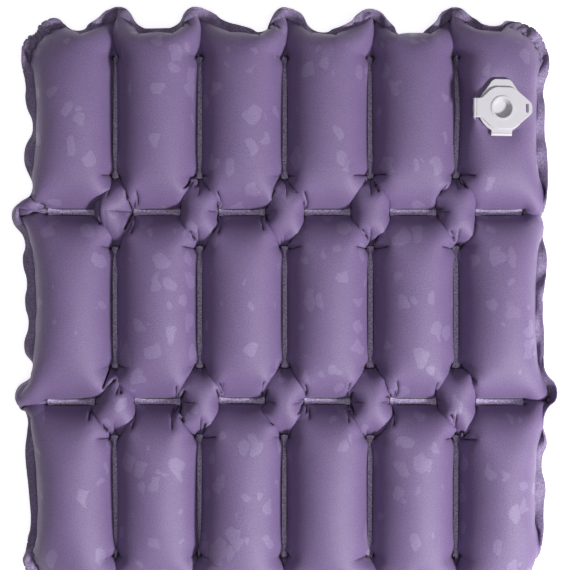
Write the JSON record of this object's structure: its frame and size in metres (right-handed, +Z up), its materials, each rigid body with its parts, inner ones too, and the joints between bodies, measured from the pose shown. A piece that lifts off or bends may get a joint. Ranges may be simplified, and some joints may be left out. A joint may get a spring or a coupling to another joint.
{
  "type": "inflatable cell cushion",
  "caption": "Flat inflatable seat cushion: two coated fabric sheets welded in a grid of air cells joined by passages, with a flat two-stage valve on one cell.",
  "frame": {"origin": "centre of the footprint, on the surface the cushion lies on", "axes": "+Z up; +Y along the columns towards the end with the valve; +X across the columns, to the valve's side"},
  "size_m": [0.456, 0.506, 0.0627],
  "materials": {
    "coated_fabric": "dark purple nylon, coated inside, satin, fine plain weave",
    "weld_seam": "the same fabric pressed flat and paler by the weld",
    "valve": "pale grey moulded soft plastic, satin",
    "membrane": "thin grey silicone film"
  },
  "bodies": {
    "cushion": {"top_sheet": "coated_fabric", "bottom_sheet": "coated_fabric", "perimeter_weld": "weld_seam", "column_welds": "weld_seam", "row_welds": "weld_seam", "valve_base": "valve", "deflate_flap_strap": "valve"},
    "deflate_flap": {"deflate_flap": "valve", "membrane_pin": "valve", "inflate_cap_strap": "valve"},
    "membrane": {"membrane": "membrane"},
    "inflate_cap": {"inflate_cap": "valve"}
  },
  "joints": [
    {"name": "deflate_flap_hinge", "type": "hinge", "parent": "cushion", "child": "deflate_flap", "pos_m": [0.18159, 0.14563, 0.05603], "axis": [0.9903, 0, -0.1392], "range_deg": [0, 90], "deforming": ["deflate_flap_strap"]},
    {"name": "inflate_cap_hinge", "type": "hinge", "parent": "deflate_flap", "child": "inflate_cap", "pos_m": [0.15858, 0.16733, 0.06118], "axis": [0, -1, 0], "range_deg": [0, 150], "deforming": ["inflate_cap_strap"]},
    {"name": "membrane_slide", "type": "slide", "parent": "deflate_flap", "child": "membrane", "axis": [-0.1392, 0, -0.9903], "range_m": [0, 0.0012], "stiffness_N_per_m": 20, "springref_m": -0.0005}
  ]
}
